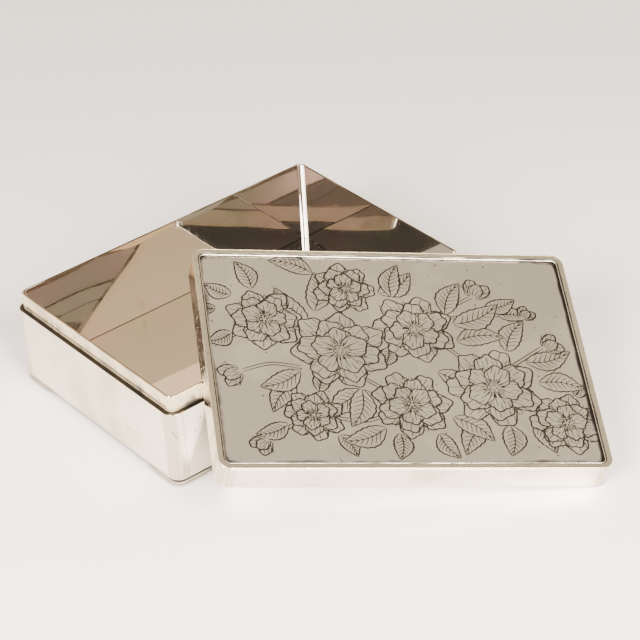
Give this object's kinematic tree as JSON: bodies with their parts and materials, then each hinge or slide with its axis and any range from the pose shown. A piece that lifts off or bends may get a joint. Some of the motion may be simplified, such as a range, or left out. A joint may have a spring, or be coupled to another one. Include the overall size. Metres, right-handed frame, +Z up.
{
  "type": "lidded metal box",
  "caption": "Rectangular polished metal box with soft corners, bracket feet, a raised inner collar and a loose engraved lid, shown off and leaning on the rim.",
  "frame": {"origin": "middle of the bounding box's bottom, on the table, with the lid off and leaning on the near rim", "axes": "+X along the long side of the box, +Y from the leaning lid towards the box, +Z up"},
  "size_m": [0.215, 0.2608, 0.0826],
  "materials": {
    "polished_silver": "polished silver with fine wear, darkened at the joints",
    "lining_silver": "mirror polished silver, warmer with age",
    "border_silver": "polished silver wire and moulding, tarnished in the grooves",
    "panel_silver": "satin silver, engraved, with darkened lines"
  },
  "bodies": {
    "box": {"body_wall": "polished_silver", "base_plate": "lining_silver", "collar": "lining_silver", "foot_near_left": "polished_silver", "foot_near_right": "polished_silver", "foot_far_left": "polished_silver", "foot_far_right": "polished_silver"},
    "lid": {"lid_skirt": "polished_silver", "lid_moulding": "border_silver", "lid_bead": "border_silver", "lid_panel": "panel_silver"}
  },
  "joints": [
    {"name": "lid_lift", "type": "slide", "parent": "box", "child": "lid", "axis": [0, 0, 1], "range_m": [0, 0.08]}
  ]
}
